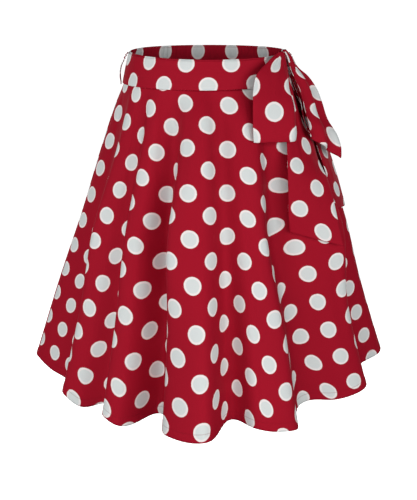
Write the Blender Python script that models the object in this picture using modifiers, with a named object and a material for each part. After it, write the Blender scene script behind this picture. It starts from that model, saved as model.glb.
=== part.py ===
"""A half-circle swing skirt with a waistband, two belt carriers and a sash tied in a bow.

Metres, +Z up. The origin is the middle of the waist at the waistband's top edge, which
dips 3 mm in front; the front of the skirt faces -Y and the wearer's left is +X.
"""
import math

import bpy
import numpy as np

# Driving sizes, measured on the outside of the cloth
WAIST_SIDE, WAIST_FRONT = 0.1385, 0.1010   # half widths of the band's top edge
SEAM_SIDE, SEAM_FRONT = 0.1500, 0.1080     # half widths of the seam below the band
BAND_HEIGHT = 0.052
WAIST_DIP, SIDE_RISE = 0.003, 0.002        # of the top edge: down in front, up at the sides
BAND_WALL = 0.0022                         # two layers and an interlining
SKIRT_LENGTH = 0.583                       # along the cloth, from seam to hem
CLOTH = 0.0016                             # one layer with its turnings
SEAM_GAP = 0.0003
HIP_EASE = 0.002                           # how far the hip rounds the skirt out
QUARTER = 45.0                             # degrees of the cut from centre front to a side
HALF = 180.0                               # degrees of the whole cut: a half circle

# Where a hem without folds would hang
BARE_HEM_SIDE, BARE_HEM_FRONT, BARE_HEM_BACK = 0.318, 0.262, 0.268

# The folds, once round from the left side seam past the front and back again.
# Each row is a ridge (two shoulders) and the hollow after it. A place is
# (degrees of the cut from centre front, side, back, how much the hem is lifted there).
FOLDS = {
    "left front": ((-44.0, -0.332, 0.015, 0.004), (-41.5, -0.312, -0.010, 0.002),
                   (-37.0, -0.275, -0.058, 0.009)),
    "left quarter": ((-31.8, -0.266, -0.131, 0.010), (-29.3, -0.241, -0.150, 0.000),
                     (-25.8, -0.192, -0.161, 0.016)),
    "left of centre": ((-22.2, -0.187, -0.212, 0.010), (-19.8, -0.163, -0.230, 0.000),
                       (-14.4, -0.093, -0.201, 0.018)),
    "centre": ((-7.3, -0.070, -0.293, 0.006), (-2.4, -0.010, -0.329, 0.000),
               (4.4, 0.039, -0.264, 0.030)),
    "right of centre": ((10.3, 0.087, -0.294, 0.008), (14.5, 0.141, -0.281, 0.000),
                        (21.5, 0.169, -0.187, 0.026)),
    "right quarter": ((25.6, 0.224, -0.160, 0.010), (30.5, 0.283, -0.122, 0.004),
                      (39.0, 0.303, 0.000, 0.005)),
    "right side": ((42.5, 0.339, 0.031, 0.002), (47.5, 0.335, 0.097, 0.000),
                   (54.5, 0.245, 0.116, 0.012)),
    "right back": ((60.0, 0.249, 0.188, 0.000), (64.5, 0.222, 0.246, 0.000),
                   (72.0, 0.127, 0.220, 0.012)),
    "right of centre back": ((77.5, 0.098, 0.284, 0.000), (82.5, 0.034, 0.318, 0.000),
                             (89.5, -0.016, 0.240, 0.012)),
    "left of centre back": ((95.0, -0.071, 0.286, 0.000), (100.0, -0.139, 0.284, 0.000),
                            (107.0, -0.143, 0.198, 0.012)),
    "left back": ((113.0, -0.230, 0.193, 0.000), (118.0, -0.286, 0.154, 0.000),
                  (125.0, -0.231, 0.092, 0.012)),
    "left side": ((130.5, -0.299, 0.061, 0.000), (133.5, -0.338, 0.052, 0.000),
                  (134.9, -0.341, 0.032, 0.002)),
}

# Where a ridge or hollow swings aside above the knee, against a straight fall:
# degrees of the cut, then how far to the side and to the back at mid length.
SWINGS = {
    "left quarter, near shoulder": (-31.8, -0.009, 0.000),
    "left of centre, near shoulder": (-22.2, -0.004, 0.000),
    "left of centre, hollow": (-14.4, 0.006, 0.014),
    "centre, near shoulder": (-7.3, -0.014, -0.006),
    "right of centre, far shoulder": (14.5, -0.007, -0.006),
    "right of centre, hollow": (21.5, -0.012, 0.014),
    "right quarter, far shoulder": (30.5, 0.034, 0.004),
    "right quarter, hollow": (39.0, -0.004, 0.000),
    "right side, near shoulder": (42.5, 0.011, 0.001),
    "right side, far shoulder": (47.5, 0.011, 0.001),
}
SWING_LEVEL, SWING_REACH = 0.45, 0.19      # shares of the length: the middle and spread

PANEL_COLUMNS, PANEL_ROWS = 74, 12
TURNING = 0.25                             # degrees of the cut pressed flat beside a side seam

# The elastic gathers the back of the band into small upright ribs
RIBS, RIB_DEPTH, STEPS_A_RIB = 44, 0.0011, 4

# The sash: one strip of doubled cloth, crushed to the band's height round the waist
SASH_WALL = 0.0020
SASH_TOP, SASH_FOOT = -0.0022, -0.0528
SASH_ROLL = 0.0007                         # how far its foot stands off the band
SASH_DRAWN, DRAWN_REACH = 0.016, 30.0      # its foot drawn up at the knot, and for how many degrees
SLOPE_HEIGHT = 0.025                       # in which what hangs from the knot comes off it
KNOT_BEARING, KNOT_HEIGHT = 66.5, -0.0125
KNOT_HALF = (0.0060, 0.0045, 0.0125)       # half its width, depth and height
KNOT_STAND = 0.0006                        # between the knot and the sash under it
WRAP_HEIGHT, WRAPS = 0.06, 9.0             # how far its wraps stand up, and how close they are

# Lengths of the sash that leave the knot. Each row is a section of the strip, looked at
# from outside: its middle (side, back, height), its width, the way it faces in degrees
# from the front, how far its right end drops and how far its middle is bowed out.
SASH_LENGTHS = {
    "bow_loop_front": (
        (0.1224, -0.0668, 0.0068, 0.010, 45.0, 0.0000, 0.0000),
        (0.1208, -0.0705, 0.0003, 0.026, 43.0, 0.0020, 0.0010),
        (0.1163, -0.0795, -0.0121, 0.048, 39.0, 0.0038, 0.0030),
        (0.1130, -0.0940, -0.0287, 0.077, 32.0, 0.0040, 0.0030),
        (0.1122, -0.1060, -0.0510, 0.084, 25.0, 0.0020, 0.0030),
        (0.1155, -0.1165, -0.0740, 0.089, 19.0, 0.0010, 0.0030),
        (0.1178, -0.1255, -0.1090, 0.091, 15.0, 0.0010, 0.0030),
        (0.1188, -0.1295, -0.1280, 0.091, 14.0, 0.0010, 0.0020),
        (0.1188, -0.1285, -0.1355, 0.091, 17.0, 0.0010, 0.0020),
        (0.1172, -0.1230, -0.1310, 0.090, 20.0, 0.0010, 0.0020),
        (0.1140, -0.1140, -0.1050, 0.088, 24.0, 0.0010, 0.0020),
        (0.1085, -0.1000, -0.0700, 0.070, 30.0, 0.0010, 0.0020),
        (0.1083, -0.0823, -0.0420, 0.036, 38.0, 0.0010, 0.0010),
        (0.1195, -0.0690, -0.0240, 0.014, 44.0, 0.0000, 0.0000)),
    "bow_loop_side": (
        (0.1290, -0.0583, 0.0092, 0.010, 65.0, 0.0000, 0.0000),
        (0.1378, -0.0520, -0.0023, 0.024, 66.0, 0.0010, 0.0010),
        (0.1460, -0.0415, -0.0191, 0.043, 65.0, 0.0049, 0.0020),
        (0.1578, -0.0310, -0.0359, 0.070, 62.0, 0.0067, 0.0030),
        (0.1695, -0.0260, -0.0557, 0.080, 59.0, 0.0096, 0.0030),
        (0.1801, -0.0250, -0.0804, 0.080, 58.0, 0.0098, 0.0020),
        (0.1890, -0.0290, -0.1077, 0.080, 54.0, 0.0130, 0.0020),
        (0.1998, -0.0400, -0.1294, 0.083, 43.0, 0.0188, 0.0020),
        (0.2048, -0.0450, -0.1482, 0.084, 40.0, 0.0226, 0.0010),
        (0.2052, -0.0460, -0.1610, 0.082, 42.0, 0.0254, 0.0010),
        (0.2030, -0.0430, -0.1570, 0.080, 46.0, 0.0230, 0.0010),
        (0.1935, -0.0370, -0.1400, 0.076, 52.0, 0.0150, 0.0010),
        (0.1800, -0.0328, -0.1130, 0.066, 60.0, 0.0080, 0.0010),
        (0.1665, -0.0325, -0.0780, 0.046, 67.0, 0.0040, 0.0000),
        (0.1520, -0.0400, -0.0480, 0.028, 66.0, 0.0020, 0.0000),
        (0.1405, -0.0490, -0.0260, 0.010, 66.0, 0.0000, 0.0000)),
    "sash_tail_front": (
        (0.1320, -0.0605, -0.0300, 0.014, 50.0, 0.0000, 0.0000),
        (0.1390, -0.0612, -0.0700, 0.035, 53.0, 0.0020, 0.0010),
        (0.1470, -0.0680, -0.1100, 0.060, 52.0, 0.0040, 0.0020),
        (0.1592, -0.0720, -0.1457, 0.079, 49.0, 0.0068, 0.0030),
        (0.1648, -0.0790, -0.1741, 0.087, 46.0, 0.0093, 0.0060),
        (0.1722, -0.0940, -0.2028, 0.089, 34.0, 0.0085, 0.0060),
        (0.1775, -0.1010, -0.2334, 0.092, 27.0, 0.0068, 0.0070),
        (0.1815, -0.1070, -0.2644, 0.094, 20.0, 0.0075, 0.0060),
        (0.1900, -0.1130, -0.3110, 0.100, 10.0, 0.0156, 0.0030)),
    "sash_tail_side": (
        (0.1432, -0.0425, -0.0360, 0.014, 65.0, 0.0000, 0.0000),
        (0.1600, -0.0190, -0.0750, 0.046, 77.0, 0.0010, 0.0010),
        (0.1810, 0.0010, -0.1150, 0.062, 80.0, 0.0020, 0.0030),
        (0.2030, 0.0110, -0.1582, 0.077, 73.0, 0.0024, 0.0050),
        (0.2232, 0.0100, -0.2115, 0.082, 71.0, 0.0043, 0.0060),
        (0.2370, 0.0100, -0.2535, 0.084, 71.0, 0.0055, 0.0060),
        (0.2462, 0.0100, -0.2843, 0.086, 71.0, 0.0065, 0.0060)),
}
# How each is folded lengthwise: where its right part turns back (a share of the half
# width) and by how many degrees; where a soft pleat lies and how deep it is.
LENGTH_FOLDS = {
    "bow_loop_front": (0.60, 62.0, 0.0, 0.0000),
    "bow_loop_side": (1.00, 0.0, 0.35, 0.0060),
    "sash_tail_front": (1.00, 0.0, 0.0, 0.0000),
    "sash_tail_side": (1.00, 0.0, 0.0, 0.0000),
}
OPEN_WIDTH = 0.084                         # of the strip where its folds are at their full depth
FOLD_SOFTNESS = 0.08
STRIP_ACROSS, STRIP_ALONG = 12, 24

# Belt carriers: narrow strips at the side seams, bowed out round the sash
CARRIER_WIDTH, CARRIER_WALL, CARRIER_STEPS = 0.008, 0.0014, 12
CARRIER_TOP, CARRIER_FOOT, CARRIER_BOW = -0.0010, -0.0565, 0.0067
CARRIER_STAND = 0.0012                     # from the sash, where it is sewn on

RED = (0.42, 0.008, 0.022, 1.0)


# Cloth, its material and its solids

def cloth_material(name):
    material = bpy.data.materials.new(name)
    material.use_nodes = True
    shader = material.node_tree.nodes["Principled BSDF"]
    shader.inputs["Base Color"].default_value = RED
    shader.inputs["Roughness"].default_value = 0.75
    shader.inputs["Metallic"].default_value = 0.0
    return material


def solid_sheet(name, grid, wall, offset, collection, closed=False):
    """A wall of cloth on a grid of points (rows, columns, 3). The two diagonals
    alternate, so that folds bend evenly."""
    rows, columns = grid.shape[:2]
    last = columns if closed else columns - 1
    faces = []
    for r in range(rows - 1):
        for c in range(last):
            a, b = r * columns + c, r * columns + (c + 1) % columns
            d, e = a + columns, b + columns
            if (r + c) % 2:
                faces += [(a, d, b), (b, d, e)]
            else:
                faces += [(a, d, e), (a, e, b)]
    mesh = bpy.data.meshes.new(name)
    mesh.from_pydata([tuple(p) for p in grid.reshape(-1, 3)], [], faces)
    mesh.shade_smooth()
    mesh.materials.append(cloth_material(name))
    obj = bpy.data.objects.new(name, mesh)
    collection.objects.link(obj)
    solidify = obj.modifiers.new("Cloth thickness", "SOLIDIFY")
    solidify.thickness = wall
    solidify.offset = offset
    solidify.use_even_offset = False
    return obj


# Curves

def smooth_rows(places, rows, at, period=0.0):
    """A smooth curve through table rows at rising places; closed where it has a period."""
    places, rows, at = (np.asarray(v, float) for v in (places, rows, at))
    if period:
        places = np.concatenate([[places[-1] - period], places, places[:2] + period])
        rows = np.concatenate([rows[-1:], rows, rows[:2]])
        at = (at - places[1]) % period + places[1]
    else:
        places = np.concatenate([[2 * places[0] - places[1]], places,
                                 [2 * places[-1] - places[-2]]])
        rows = np.concatenate([[2 * rows[0] - rows[1]], rows, [2 * rows[-1] - rows[-2]]])
    step = np.diff(places)
    rise = np.diff(rows, axis=0) / step[:, None]
    slope = (step[1:, None] * rise[:-1] + step[:-1, None] * rise[1:]) \
        / (step[1:] + step[:-1])[:, None]
    i = np.clip(np.searchsorted(places, at, side="right") - 1, 1, len(places) - 3)
    h = step[i][:, None]
    t = (at - places[i])[:, None] / h
    return ((2 * t**3 - 3 * t**2 + 1) * rows[i] + (t**3 - 2 * t**2 + t) * h * slope[i - 1]
            + (3 * t**2 - 2 * t**3) * rows[i + 1] + (t**3 - t**2) * h * slope[i])


def run_along(points):
    """Distance along a run of points, from its first."""
    return np.concatenate([[0.0], np.cumsum(np.linalg.norm(np.diff(points, axis=0), axis=1))])


TURN = np.linspace(-math.pi, math.pi, 7201)
SEAM_RUN = run_along(np.column_stack([SEAM_SIDE * np.sin(TURN), -SEAM_FRONT * np.cos(TURN)]))
SEAM_LENGTH = SEAM_RUN[-1]
CUT_RADIUS = SEAM_LENGTH / math.radians(HALF)   # waist radius of the half circle


def turn_of_cut(cut):
    """The ellipse angle, from the front, at which a place on the cut is sewn to the band."""
    cut = (np.asarray(cut, float) + HALF / 2) % HALF - HALF / 2
    return np.interp(np.radians(cut) * CUT_RADIUS + SEAM_LENGTH / 2, SEAM_RUN, TURN)


def seam_place(cut):
    turn = turn_of_cut(cut)
    return np.column_stack([SEAM_SIDE * np.sin(turn), -SEAM_FRONT * np.cos(turn)])


def bare_hem_place(cut):
    turn = turn_of_cut(cut)
    reach = np.where(np.cos(turn) > 0, BARE_HEM_FRONT, BARE_HEM_BACK)
    return np.column_stack([BARE_HEM_SIDE * np.sin(turn), -reach * np.cos(turn)])


# The skirt: level sections of the right length, joined by the cut's own radii

FOLD_PLACES = np.array([place for fold in FOLDS.values() for place in fold])
FOLD_CUTS = FOLD_PLACES[:, 0]
FOLD_SWINGS = np.zeros((len(FOLD_CUTS), 2))
for swing_cut, *swing in SWINGS.values():
    FOLD_SWINGS[FOLD_CUTS == swing_cut] = swing
ONCE_ROUND = np.linspace(-QUARTER, HALF - QUARTER, 2881)
ANCHORS = (-QUARTER, 0.0, QUARTER, 2 * QUARTER, 3 * QUARTER)


def section(down, cuts):
    """The skirt in plan at a share (0 seam, 1 hem) of the way down. The folds are as
    deep as the cut's length there needs, so the cloth is neither stretched nor lost."""
    seam, bare = seam_place(FOLD_CUTS), bare_hem_place(FOLD_CUTS)
    outward = bare / np.linalg.norm(bare, axis=1)[:, None]
    plain = seam + (bare - seam) * down + outward * HIP_EASE * math.sin(math.pi * down)
    plain += FOLD_SWINGS * math.exp(-((down - SWING_LEVEL) / SWING_REACH)**2)
    fold = FOLD_PLACES[:, 1:3] - bare
    length = math.radians(HALF) * (CUT_RADIUS + SKIRT_LENGTH * down)
    shallow, deep = 0.0, 2.0
    for _ in range(30):
        depth = (shallow + deep) / 2
        ring = smooth_rows(FOLD_CUTS, plain + depth * fold, ONCE_ROUND, HALF)
        run = run_along(ring)
        if run[-1] < length:
            shallow = depth
        else:
            deep = depth
    anchored = np.interp(cuts, ANCHORS, np.interp(ANCHORS, ONCE_ROUND, run))
    return np.column_stack([np.interp(anchored, run, ring[:, k]) for k in (0, 1)])


def skirt_grid(cuts, rows):
    """Points of the cloth's outside: rows from seam to hem, a column for each cut angle.
    Each column falls as its own length of cloth allows."""
    here = seam_place(cuts)
    height = np.full(len(cuts), -BAND_HEIGHT - SEAM_GAP)
    lift = smooth_rows(FOLD_CUTS, FOLD_PLACES[:, 3:], cuts, HALF)[:, 0]
    grid = [np.column_stack([here, height])]
    step = SKIRT_LENGTH / rows
    for row in range(1, rows + 1):
        below = section(row / rows, cuts)
        across = np.linalg.norm(below - here, axis=1)
        height = height - np.sqrt(np.maximum(step**2 - across**2, (0.3 * step)**2))
        grid.append(np.column_stack([below, height + lift * (row / rows)**1.5]))
        here = below
    return np.array(grid)


def make_skirt(collection):
    edge = math.degrees(SEAM_GAP / 2 / CUT_RADIUS)
    for name, start in (("skirt_front", -QUARTER), ("skirt_back", QUARTER)):
        cuts = np.linspace(start, start + 2 * QUARTER, PANEL_COLUMNS + 1)
        cuts = np.concatenate([[cuts[0] + edge, cuts[0] + TURNING], cuts[1:-1],
                               [cuts[-1] - TURNING, cuts[-1] - edge]])
        solid_sheet(name, skirt_grid(cuts, PANEL_ROWS), CLOTH, -1.0, collection)


# The waistband and the sash round it

def band_place(turn, height, out=0.0):
    """A point outside the band: its half widths grow from the top edge to the seam."""
    share = np.clip(-height / BAND_HEIGHT, 0.0, 1.1)
    side = WAIST_SIDE + (SEAM_SIDE - WAIST_SIDE) * share + out
    front = WAIST_FRONT + (SEAM_FRONT - WAIST_FRONT) * share + out
    rise = (SIDE_RISE * np.sin(turn)**2 - WAIST_DIP * np.cos(turn)) * np.maximum(1.0 - share, 0.0)
    return np.column_stack([side * np.sin(turn), -front * np.cos(turn), height + rise])


def make_waistband(collection):
    edge = SEAM_GAP / 2 / SEAM_FRONT
    front = np.linspace(-math.pi / 2 + edge, math.pi / 2 - edge, 49)
    heights = (0.0, -BAND_HEIGHT / 2, -BAND_HEIGHT)
    grid = np.array([band_place(front, z) for z in heights])
    solid_sheet("waistband_front", grid, BAND_WALL, -1.0, collection)
    steps = RIBS * STEPS_A_RIB
    back = np.linspace(math.pi / 2 + edge, 3 * math.pi / 2 - edge, steps + 5)
    ribbed = np.clip(np.arange(-2, steps + 3) / steps, 0.0, 1.0)   # flat beside the seams
    ribs = -RIB_DEPTH * (0.5 - 0.5 * np.cos(2 * math.pi * RIBS * ribbed))
    grid = np.array([band_place(back, z, ribs) for z in heights])
    solid_sheet("waistband_back", grid, BAND_WALL, -1.0, collection)


def make_sash_round_waist(collection):
    turn = np.linspace(-math.pi, math.pi, 97)[:-1]
    from_knot = (np.degrees(turn) - KNOT_BEARING + 180.0) % 360.0 - 180.0
    foot = SASH_FOOT + SASH_DRAWN * np.exp(-(from_knot / DRAWN_REACH)**2)
    clear = SEAM_GAP + SASH_WALL
    rows = [band_place(turn, SASH_TOP, clear),
            band_place(turn, (SASH_TOP + foot) / 2, clear + SASH_ROLL),
            band_place(turn, foot, clear + SASH_ROLL)]
    solid_sheet("sash_waist", np.array(rows), SASH_WALL, -1.0, collection, closed=True)


# What lies below the bow: the sash, then the ridges of the skirt

BELOW_CUTS = np.linspace(-QUARTER, HALF - QUARTER, 361)[:-1]
BELOW_GRID = skirt_grid(BELOW_CUTS, 24)
LOOK = np.radians(np.arange(-180.0, 180.0, 2.0))   # bearings in which the ridges are felt
WIDEST_LOOK = 0.2                                  # cosine of the widest that counts


def hull_reach(bearing, height):
    """How far, at a bearing and height, a strip laid tightly over the ridges lies out.
    Just below the sash the strip comes down off it in an easy slope."""
    if height > SASH_FOOT:
        ring = band_place(TURN[::40], height)[:, :2]
    else:
        ring = np.array([[np.interp(-height, -line[:, 2], line[:, k]) for k in (0, 1)]
                         for line in BELOW_GRID.swapaxes(0, 1)])
    outward = np.array([np.sin(LOOK), -np.cos(LOOK)])
    support = (ring @ outward).max(axis=0)
    turned = np.cos(np.radians(bearing) - LOOK)
    facing = turned > WIDEST_LOOK
    fallen = np.clip((SASH_FOOT - height) / SLOPE_HEIGHT, 0.0, 1.0)
    sash = (SEAM_GAP + SASH_WALL + SASH_ROLL) * (1 - fallen**2 * (3 - 2 * fallen))
    return (support[facing] / turned[facing]).min() + sash


def sash_length_grid(name, along, across):
    """Points of a strip of sash laid smoothly through its table's sections. Its lengthwise
    folds open out below the knot."""
    table = np.array(SASH_LENGTHS[name])
    places = run_along(table[:, :3])
    side, back, height, width, facing, drop, belly = smooth_rows(
        places, table, np.linspace(0.0, places[-1], along + 1)).T[:, :, None]
    share = np.linspace(-1.0, 1.0, across + 1)[None, :]
    facing = np.radians(facing)
    turned_from, turned, pleat_place, pleat_depth = LENGTH_FOLDS[name]
    past = share - turned_from
    past = (past + np.sqrt(past**2 + FOLD_SOFTNESS**2)) / 2 if turned else 0.0 * share
    opened = np.clip(width / OPEN_WIDTH, 0.0, 1.0)**3
    turned = np.radians(turned) * opened
    reach = (share - past * (1.0 - np.cos(turned))) * width / 2
    out = belly * (1.0 - share**2) - past * np.sin(turned) * width / 2 \
        - pleat_depth * opened * np.cos(2 * math.pi * (share - pleat_place))
    return np.stack([side + reach * np.cos(facing) + out * np.sin(facing),
                     back + reach * np.sin(facing) - out * np.cos(facing),
                     height - share * drop], axis=2)


def make_sash_lengths(collection):
    for name in SASH_LENGTHS:
        grid = sash_length_grid(name, STRIP_ALONG, STRIP_ACROSS)
        solid_sheet(name, grid, SASH_WALL, 0.0, collection)


def make_knot(collection):
    """A soft knot pressed on the sash, its wraps as three low ridges across it."""
    bpy.ops.mesh.primitive_uv_sphere_add(segments=24, ring_count=14, radius=1.0)
    obj = bpy.context.object
    obj.name = obj.data.name = "sash_knot"
    half_width, half_depth, half_height = KNOT_HALF
    band_reach = hull_reach(KNOT_BEARING, KNOT_HEIGHT)
    for vertex in obj.data.vertices:
        x, y, z = vertex.co
        wrap = 1.0 + WRAP_HEIGHT * math.cos(WRAPS * z)
        height = KNOT_HEIGHT + half_height * z
        bearing = KNOT_BEARING + math.degrees(half_width * x * wrap / band_reach)
        out = hull_reach(bearing, height) + KNOT_STAND + half_depth * (y + 1.0) * wrap
        vertex.co = (out * math.sin(math.radians(bearing)),
                     -out * math.cos(math.radians(bearing)), height)
    bpy.ops.object.mode_set(mode="EDIT")
    bpy.ops.mesh.select_all(action="SELECT")
    bpy.ops.mesh.normals_make_consistent(inside=False)
    bpy.ops.object.mode_set(mode="OBJECT")
    obj.data.shade_smooth()
    obj.data.materials.append(cloth_material("sash_knot"))
    for other in list(obj.users_collection):
        other.objects.unlink(obj)
    collection.objects.link(obj)


def make_carriers(collection):
    """Belt carriers: sewn into the band's top edge and over the seam, clear of the sash."""
    for name, side in (("belt_loop_left", -1), ("belt_loop_right", 1)):
        bearing = 90.0 * side
        grid = []
        for share in np.linspace(0.0, 1.0, CARRIER_STEPS + 1):
            height = CARRIER_TOP + (CARRIER_FOOT - CARRIER_TOP) * share
            bow = CARRIER_BOW * math.sin(math.pi * share)
            out = hull_reach(bearing, height) + CARRIER_STAND + bow
            grid.append([[side * out, y, height]
                         for y in (-CARRIER_WIDTH / 2, 0.0, CARRIER_WIDTH / 2)])
        solid_sheet(name, np.array(grid), CARRIER_WALL, 0.0, collection)


def main():
    for obj in list(bpy.data.objects):
        bpy.data.objects.remove(obj, do_unlink=True)
    collection = bpy.data.collections.new("circle_skirt")
    bpy.context.scene.collection.children.link(collection)
    make_skirt(collection)
    make_waistband(collection)
    make_sash_round_waist(collection)
    make_knot(collection)
    make_sash_lengths(collection)
    make_carriers(collection)


main()
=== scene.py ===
"""A half-circle swing skirt in red cotton with white dots, its waist sash tied in a bow.

Metres, +Z up. The origin is the middle of the waist at the waistband's top edge, which
dips 3 mm in front; the front of the skirt faces -Y and the wearer's left is +X.
"""
import math

import bpy
import numpy as np
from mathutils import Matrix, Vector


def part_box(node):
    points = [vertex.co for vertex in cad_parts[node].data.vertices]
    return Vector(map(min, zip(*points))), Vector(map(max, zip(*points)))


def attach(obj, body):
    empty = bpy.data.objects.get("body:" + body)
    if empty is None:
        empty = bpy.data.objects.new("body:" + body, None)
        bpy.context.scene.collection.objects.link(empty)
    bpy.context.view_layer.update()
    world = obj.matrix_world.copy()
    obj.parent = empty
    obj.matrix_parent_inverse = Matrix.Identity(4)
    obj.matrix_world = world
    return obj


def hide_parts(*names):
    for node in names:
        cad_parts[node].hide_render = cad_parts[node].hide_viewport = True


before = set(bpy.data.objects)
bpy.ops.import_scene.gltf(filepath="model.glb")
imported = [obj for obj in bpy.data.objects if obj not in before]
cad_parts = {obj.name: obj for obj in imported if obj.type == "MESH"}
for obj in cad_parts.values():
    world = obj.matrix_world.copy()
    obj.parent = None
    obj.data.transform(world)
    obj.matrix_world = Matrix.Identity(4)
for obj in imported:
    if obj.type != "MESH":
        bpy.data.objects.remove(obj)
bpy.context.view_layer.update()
scene = bpy.context.scene


# THE SKIRT
# Two quarter-circle panels of printed cotton sateen, sewn at the sides and hung from the
# waistband. The cut's extra width stands in twelve deep folds at the hem; the hem is
# turned once and stitched.

SEAM_SIDE, SEAM_FRONT = 0.1500, 0.1080     # half widths of the seam below the band
BAND_HEIGHT = 0.052
SKIRT_LENGTH = 0.583                       # along the cloth, from seam to hem
SEAM_GAP = 0.0003
HIP_EASE = 0.002                           # how far the hip rounds the skirt out
QUARTER, HALF = 45.0, 180.0                # degrees of the cut: centre front to side, whole
BARE_HEM_SIDE, BARE_HEM_FRONT, BARE_HEM_BACK = 0.318, 0.262, 0.268

# Each fold is a ridge (two shoulders) and the hollow after it, from the left side seam
# past the front: (degrees of the cut from centre front, side, back, lift of the hem).
# The first 19 points come from a hem line solved by least squares, rounded and moved by
# up to 9 mm; the others, round the back, are chosen one by one.
FOLDS = {
    "left front": ((-44.0, -0.332, 0.015, 0.004), (-41.5, -0.312, -0.010, 0.002),
                   (-37.0, -0.275, -0.058, 0.009)),
    "left quarter": ((-31.8, -0.266, -0.131, 0.010), (-29.3, -0.241, -0.150, 0.000),
                     (-25.8, -0.192, -0.161, 0.016)),
    "left of centre": ((-22.2, -0.187, -0.212, 0.010), (-19.8, -0.163, -0.230, 0.000),
                       (-14.4, -0.093, -0.201, 0.018)),
    "centre": ((-7.3, -0.070, -0.293, 0.006), (-2.4, -0.010, -0.329, 0.000),
               (4.4, 0.039, -0.264, 0.030)),
    "right of centre": ((10.3, 0.087, -0.294, 0.008), (14.5, 0.141, -0.281, 0.000),
                        (21.5, 0.169, -0.187, 0.026)),
    "right quarter": ((25.6, 0.224, -0.160, 0.010), (30.5, 0.283, -0.122, 0.004),
                      (39.0, 0.303, 0.000, 0.005)),
    "right side": ((42.5, 0.339, 0.031, 0.002), (47.5, 0.335, 0.097, 0.000),
                   (54.5, 0.245, 0.116, 0.012)),
    "right back": ((60.0, 0.249, 0.188, 0.000), (64.5, 0.222, 0.246, 0.000),
                   (72.0, 0.127, 0.220, 0.012)),
    "right of centre back": ((77.5, 0.098, 0.284, 0.000), (82.5, 0.034, 0.318, 0.000),
                             (89.5, -0.016, 0.240, 0.012)),
    "left of centre back": ((95.0, -0.071, 0.286, 0.000), (100.0, -0.139, 0.284, 0.000),
                            (107.0, -0.143, 0.198, 0.012)),
    "left back": ((113.0, -0.230, 0.193, 0.000), (118.0, -0.286, 0.154, 0.000),
                  (125.0, -0.231, 0.092, 0.012)),
    "left side": ((130.5, -0.299, 0.061, 0.000), (133.5, -0.338, 0.052, 0.000),
                  (134.9, -0.341, 0.032, 0.002)),
}

# Where a ridge or hollow swings aside above the knee: degrees of the cut, side, back.
SWINGS = {
    "left quarter, near shoulder": (-31.8, -0.009, 0.000),
    "left of centre, near shoulder": (-22.2, -0.004, 0.000),
    "left of centre, hollow": (-14.4, 0.006, 0.014),
    "centre, near shoulder": (-7.3, -0.014, -0.006),
    "right of centre, far shoulder": (14.5, -0.007, -0.006),
    "right of centre, hollow": (21.5, -0.012, 0.014),
    "right quarter, far shoulder": (30.5, 0.034, 0.004),
    "right quarter, hollow": (39.0, -0.004, 0.000),
    "right side, near shoulder": (42.5, 0.011, 0.001),
    "right side, far shoulder": (47.5, 0.011, 0.001),
}
SWING_LEVEL, SWING_REACH = 0.45, 0.19      # shares of the length: the middle and spread

# Softer creases between the folds: degrees of the cut at the top, degrees it has moved
# at its foot, where it starts and ends (shares of the length), half width and depth in
# millimetres. A negative depth stands out as a ridge.
SKIRT_CREASES = (
    (-40.0, 1.0, 0.00, 0.34, 7.0, 1.4),
    (-34.5, -0.6, 0.00, 0.50, 8.0, 1.6),
    (-28.0, 0.8, 0.02, 0.42, 6.0, 1.3),
    (-17.5, 0.9, 0.00, 0.38, 8.0, 1.5),
    (-11.0, 0.5, 0.02, 0.55, 9.0, 1.8),
    (-5.0, -0.3, 0.05, 0.45, 6.0, -0.7),
    (1.0, 0.5, 0.00, 0.40, 7.0, 1.2),
    (7.5, 0.4, 0.10, 0.70, 8.0, 1.5),
    (18.0, 0.6, 0.05, 0.50, 8.0, 1.4),
    (28.0, 1.2, 0.45, 0.95, 12.0, 1.6),
    (35.0, 0.8, 0.50, 0.97, 14.0, 2.0),
    (51.0, -0.5, 0.00, 0.45, 8.0, 1.6),
    (58.0, 0.7, 0.02, 0.38, 7.0, 1.3),
    (67.5, 0.5, 0.00, 0.55, 9.0, 1.7),
    (75.0, -0.4, 0.03, 0.36, 6.0, 1.2),
    (86.0, 0.6, 0.00, 0.50, 8.0, 1.6),
    (92.5, 0.3, 0.02, 0.40, 7.0, 1.3),
    (103.5, -0.6, 0.00, 0.60, 9.0, 1.8),
    (110.0, 0.4, 0.04, 0.40, 6.0, 1.2),
    (121.5, 0.8, 0.00, 0.48, 8.0, 1.6),
    (128.0, -0.3, 0.02, 0.36, 6.0, 1.2),
)

COARSE_ROWS, ROWS_EACH = 12, 12            # the folds' own levels, and rows between them
PANEL_COLUMNS = 296
SHELL = 0.0010                             # the cloth with its sizing
HEM_TURNING, HEM_STEP = 0.014, 0.0004      # width and thickness of the turned hem
ROPE_WAVE, ROPE_DEPTH = 0.011, 0.00035     # small puckers that the hem stitching draws
SEAM_GROOVE, SEAM_REACH = 0.0010, 0.0022   # the pressed side seams
SEAM_SPREAD = 0.0001                       # how far they open at the hem


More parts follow.
